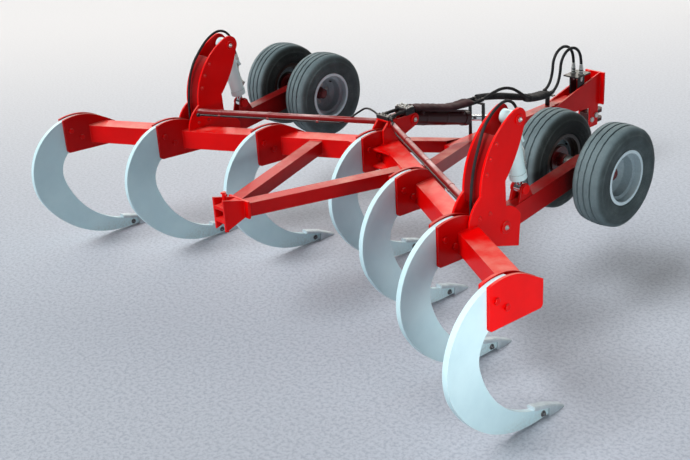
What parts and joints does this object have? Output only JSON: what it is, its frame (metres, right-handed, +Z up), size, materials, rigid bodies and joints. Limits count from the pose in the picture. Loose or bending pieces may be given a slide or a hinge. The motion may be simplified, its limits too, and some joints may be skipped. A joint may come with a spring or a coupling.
{
  "type": "trailed subsoiler",
  "caption": "Tractor-drawn V-frame subsoiler with curved C-shaped shanks, raised dual gauge wheels on hydraulic lift arms, a hinged drawbar and a rear tow frame.",
  "frame": {"origin": "on the ground, under the middle of the machine's overall width and length", "axes": "+X to the machine's right, +Y forward along the drawbar, +Z up"},
  "size_m": [4.6806, 4.687, 1.7687],
  "materials": {
    "red_paint": "gloss",
    "shank_paint": "satin",
    "point_steel": "worn",
    "zinc_steel": "satin",
    "tyre_rubber": "matte",
    "rim_paint": "satin",
    "hub_paint": "gloss",
    "cylinder_paint": "gloss",
    "level_paint": "gloss",
    "rod_chrome": "polished",
    "hose_rubber": "satin",
    "rack_paint": "satin",
    "clevis_iron": "rough"
  },
  "bodies": {
    "frame": {"main_beam_left": "red_paint", "main_beam_right": "red_paint", "apex_gussets": "red_paint", "shank_holder_1": "red_paint", "shank_holder_2": "red_paint", "shank_holder_3": "red_paint", "shank_holder_4": "red_paint", "shank_holder_5": "red_paint", "shank_holder_6": "red_paint", "shank_holder_7": "red_paint", "shank_1": "shank_paint", "shank_2": "shank_paint", "shank_3": "shank_paint", "shank_4": "shank_paint", "shank_5": "shank_paint", "shank_6": "shank_paint", "shank_7": "shank_paint", "ripper_points": "point_steel", "shank_bolts": "zinc_steel", "lift_tower_left": "red_paint", "lift_tower_right": "red_paint", "frame_pins": "zinc_steel", "mast": "red_paint", "tongue_brackets": "red_paint", "tower_stays": "red_paint", "rear_hitch_legs": "red_paint", "rear_hitch_head": "red_paint", "lift_hoses": "hose_rubber"},
    "rear_pin": {"rear_hitch_pin": "red_paint"},
    "tongue": {"tongue_legs": "red_paint", "tongue_pole": "red_paint", "hitch_head": "red_paint", "hitch_clevis": "clevis_iron", "tongue_pins": "zinc_steel", "hose_rack": "rack_paint", "tongue_hoses": "hose_rubber"},
    "level_barrel": {"level_barrel": "level_paint"},
    "level_rod": {"level_rod": "rod_chrome"},
    "arm_left": {"wheel_arm_left": "red_paint", "wheel_axle_left": "zinc_steel", "arm_pins_left": "zinc_steel"},
    "lift_barrel_left": {"lift_barrel_left": "cylinder_paint"},
    "lift_rod_left": {"lift_rod_left": "rod_chrome"},
    "arm_right": {"wheel_arm_right": "red_paint", "wheel_axle_right": "zinc_steel", "arm_pins_right": "zinc_steel"},
    "lift_barrel_right": {"lift_barrel_right": "cylinder_paint"},
    "lift_rod_right": {"lift_rod_right": "rod_chrome"},
    "wheel_1": {"tyre_1": "tyre_rubber", "wheel_rim_1": "rim_paint", "wheel_hub_1": "hub_paint"},
    "wheel_2": {"tyre_2": "tyre_rubber", "wheel_rim_2": "rim_paint", "wheel_hub_2": "hub_paint"},
    "wheel_3": {"tyre_3": "tyre_rubber", "wheel_rim_3": "rim_paint", "wheel_hub_3": "hub_paint"},
    "wheel_4": {"tyre_4": "tyre_rubber", "wheel_rim_4": "rim_paint", "wheel_hub_4": "hub_paint"}
  },
  "joints": [
    {"name": "left_wheel_lift", "type": "hinge", "parent": "frame", "child": "arm_left", "pos_m": [-1.506, -0.97048, 0.92959], "axis": [-1, 0, 0], "range_deg": [0, 60]},
    {"name": "left_barrel_swing", "type": "hinge", "parent": "frame", "child": "lift_barrel_left", "pos_m": [-1.506, -0.84048, 1.64459], "axis": [-1, 0, 0], "range_deg": [-0.2, 2.78], "deforming": ["lift_hoses"]},
    {"name": "left_rod_slide", "type": "slide", "parent": "lift_barrel_left", "child": "lift_rod_left", "axis": [0, 0.2189, -0.9758], "range_m": [0, 0.3076]},
    {"name": "right_wheel_lift", "type": "hinge", "parent": "frame", "child": "arm_right", "pos_m": [1.506, -0.97048, 0.92959], "axis": [-1, 0, 0], "range_deg": [0, 60]},
    {"name": "right_barrel_swing", "type": "hinge", "parent": "frame", "child": "lift_barrel_right", "pos_m": [1.506, -0.84048, 1.64459], "axis": [-1, 0, 0], "range_deg": [-0.2, 2.78], "deforming": ["lift_hoses"]},
    {"name": "right_rod_slide", "type": "slide", "parent": "lift_barrel_right", "child": "lift_rod_right", "axis": [0, 0.2189, -0.9758], "range_m": [0, 0.3076]},
    {"name": "wheel_1_spin", "type": "hinge", "parent": "arm_left", "child": "wheel_1", "pos_m": [-1.771, -0.01648, 1.04859], "axis": [1, 0, 0], "continuous": true},
    {"name": "wheel_2_spin", "type": "hinge", "parent": "arm_left", "child": "wheel_2", "pos_m": [-1.241, -0.01648, 1.04859], "axis": [1, 0, 0], "continuous": true},
    {"name": "wheel_3_spin", "type": "hinge", "parent": "arm_right", "child": "wheel_3", "pos_m": [1.241, -0.01648, 1.04859], "axis": [1, 0, 0], "continuous": true},
    {"name": "wheel_4_spin", "type": "hinge", "parent": "arm_right", "child": "wheel_4", "pos_m": [1.771, -0.01648, 1.04859], "axis": [1, 0, 0], "continuous": true},
    {"name": "tongue_pitch", "type": "hinge", "parent": "frame", "child": "tongue", "pos_m": [0, -0.55816, 0.91459], "axis": [1, 0, 0], "range_deg": [-6, 9], "deforming": ["tongue_hoses"]},
    {"name": "level_barrel_swing", "type": "hinge", "parent": "frame", "child": "level_barrel", "pos_m": [0, -0.23048, 1.14959], "axis": [1, 0, 0], "range_deg": [-7.67, 11.35]},
    {"name": "level_rod_slide", "type": "slide", "parent": "level_barrel", "child": "level_rod", "axis": [0, 0.9643, -0.265], "range_m": [-0.0494, 0.0336]},
    {"name": "rear_pin_lift", "type": "slide", "parent": "frame", "child": "rear_pin", "axis": [0, 0, 1], "range_m": [0, 0.12]}
  ],
  "couplings": [
    {"joint": "left_barrel_swing", "follows": "left_wheel_lift", "ratio": 0.04128},
    {"joint": "left_rod_slide", "follows": "left_wheel_lift", "m_per_rad": 0.29281},
    {"joint": "right_barrel_swing", "follows": "left_wheel_lift", "ratio": 0.04128},
    {"joint": "right_rod_slide", "follows": "left_wheel_lift", "m_per_rad": 0.29281},
    {"joint": "right_wheel_lift", "follows": "left_wheel_lift", "ratio": 1},
    {"joint": "level_barrel_swing", "follows": "tongue_pitch", "ratio": 1.2283},
    {"joint": "level_rod_slide", "follows": "tongue_pitch", "m_per_rad": -0.3015}
  ]
}
